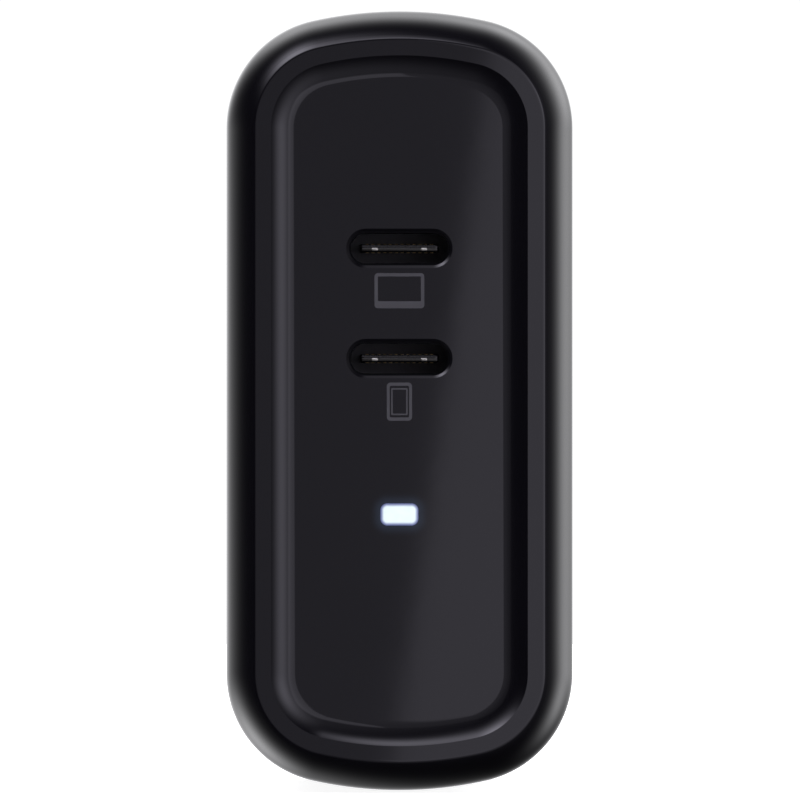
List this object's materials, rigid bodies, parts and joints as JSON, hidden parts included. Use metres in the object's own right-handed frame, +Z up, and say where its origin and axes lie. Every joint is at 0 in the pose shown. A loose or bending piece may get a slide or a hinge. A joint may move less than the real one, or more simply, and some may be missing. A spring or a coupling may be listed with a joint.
{
  "type": "usb wall charger",
  "caption": "Tall rounded black wall charger with a recessed front panel, USB-C sockets, a status light and a fold-out two-blade plug",
  "frame": {"origin": "on the back face, midway between the two plug blades, where they leave the casing", "axes": "+Y points into the wall outlet along the blades, +Z is up along the long side of the front, +X is to the right seen from the front; the front panel faces -Y"},
  "size_m": [0.0296, 0.077, 0.0666],
  "materials": {
    "casing": "gloss black polycarbonate",
    "front_panel": "gloss black polycarbonate",
    "light_pipe": "clear light pipe, lit white",
    "plug_frame": "satin black polycarbonate",
    "plug_barrel": "satin black nylon",
    "inner_plastic": "black nylon",
    "blades": "nickel-plated brass",
    "spring_bronze": "phosphor bronze",
    "spring_steel": "spring steel",
    "lead_black": "black insulation",
    "lead_white": "white insulation",
    "circuit_board": "green solder mask on glass epoxy",
    "port_shell": "dark plated steel",
    "port_tongue": "black liquid crystal polymer",
    "contacts": "gold-plated contacts",
    "led": "white light-emitting diode",
    "chip": "moulded epoxy",
    "white_chip": "moulded white epoxy",
    "blue_coating": "blue epoxy dip",
    "yellow_case": "yellow moulded case",
    "ferrite": "sintered ferrite",
    "copper": "enamelled copper wire",
    "capacitor_sleeve": "sleeved capacitor can",
    "yellow_tape": "polyester tape over copper wire",
    "can": "aluminium can",
    "moulded_ferrite": "moulded iron powder",
    "thermal_pad": "silicone thermal pad",
    "heat_spreader": "bent aluminium sheet",
    "insulating_sheet": "polyester sheet"
  },
  "bodies": {
    "casing": {"main_housing": "casing", "front_cover": "front_panel", "light_pipe": "light_pipe", "plug_frame": "plug_frame", "bearing_caps": "inner_plastic", "contact_spring_left": "spring_bronze", "contact_spring_right": "spring_bronze", "detent_spring": "spring_steel", "ac_lead_left": "lead_black", "ac_lead_right": "lead_white", "usb_board": "circuit_board", "laptop_port_shell": "port_shell", "laptop_port_tongue": "port_tongue", "laptop_port_contacts": "contacts", "phone_port_shell": "port_shell", "phone_port_tongue": "port_tongue", "phone_port_contacts": "contacts", "status_led": "led", "pd_controller": "chip", "board_header": "inner_plastic", "header_pins": "contacts", "main_board": "circuit_board", "fuse": "chip", "varistor": "blue_coating", "x_capacitor": "yellow_case", "choke_core": "ferrite", "choke_windings": "copper", "bridge_rectifier": "chip", "bulk_capacitors": "capacitor_sleeve", "transformer_core": "ferrite", "transformer_bobbin": "inner_plastic", "transformer_winding": "yellow_tape", "y_capacitor": "blue_coating", "optocoupler": "white_chip", "output_capacitors": "can", "output_inductors": "moulded_ferrite", "primary_switch": "chip", "primary_controller": "chip", "sync_rectifier": "chip", "thermal_pad": "thermal_pad", "heat_spreader": "heat_spreader", "insulating_sheet": "insulating_sheet"},
    "plug": {"prong_carrier": "plug_barrel", "blade_left": "blades", "blade_right": "blades"}
  },
  "joints": [
    {"name": "prong_fold", "type": "hinge", "parent": "casing", "child": "plug", "pos_m": [0, -0.0038, 0], "axis": [-1, 0, 0], "range_deg": [0, 90], "deforming": ["detent_spring"]}
  ]
}
